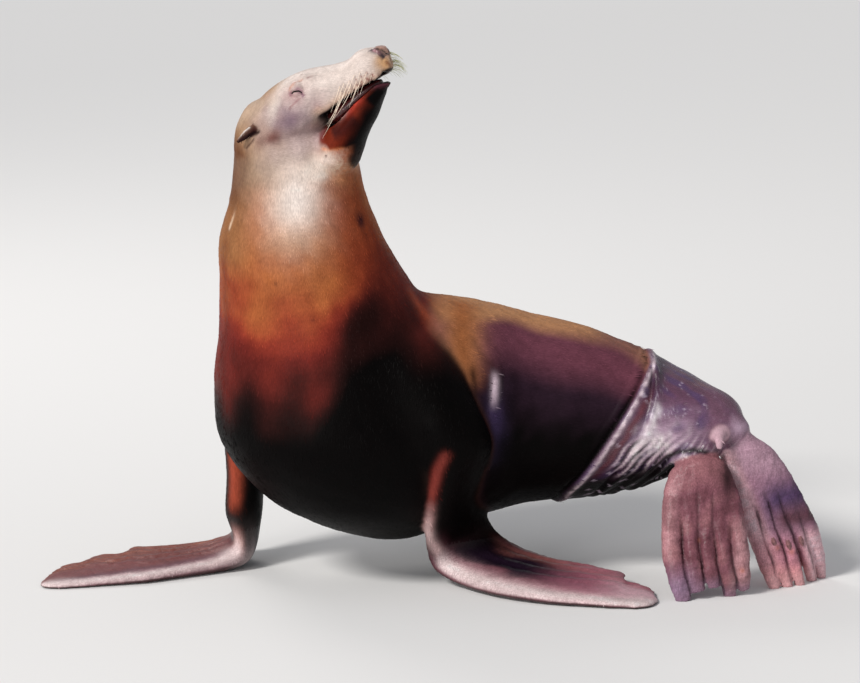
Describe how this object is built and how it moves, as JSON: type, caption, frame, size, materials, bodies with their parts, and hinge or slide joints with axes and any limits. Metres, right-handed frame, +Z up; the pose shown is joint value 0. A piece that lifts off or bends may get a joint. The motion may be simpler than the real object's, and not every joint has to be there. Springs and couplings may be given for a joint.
{
  "type": "life-size sea lion figure",
  "caption": "Still life-size sea lion, propped up on its fore flippers with its head turned back and raised, mouth a little open and hind flippers folded down beside each other.",
  "frame": {"origin": "on the floor, under the middle of the animal's bounding box", "axes": "+X from the breast towards the rump, the longest way; -Y is the side that the breast faces; +Z up"},
  "size_m": [1.2688, 0.4552, 0.8765],
  "materials": {
    "golden_fur": "short wet fur, golden brown",
    "brown_fur": "short wet fur, red-brown",
    "dark_fur": "short wet fur, dark purple-brown",
    "bare_skin": "bare wet hide of the flippers, mauve-brown",
    "dark_skin": "bare wet hide of the nose, near black",
    "eye": "wet dark brown eye",
    "horn": "dull brown nail",
    "mouth": "wet dark red flesh"
  },
  "bodies": {
    "root": {"head": "golden_fur", "lower_jaw": "brown_fur", "nose": "dark_skin", "eye_right": "eye", "eye_left": "eye", "ear_right": "brown_fur", "ear_left": "brown_fur", "neck": "golden_fur", "chest": "brown_fur", "abdomen": "dark_fur", "rump": "dark_fur", "tail": "dark_fur", "arm_right": "brown_fur", "hand_right": "bare_skin", "arm_left": "brown_fur", "hand_left": "bare_skin", "foot_left": "bare_skin", "foot_right": "bare_skin", "nail_left_1": "horn", "nail_left_2": "horn", "nail_left_3": "horn", "nail_right_1": "horn", "nail_right_2": "horn", "nail_right_3": "horn", "tongue": "mouth"}
  },
  "joints": []
}
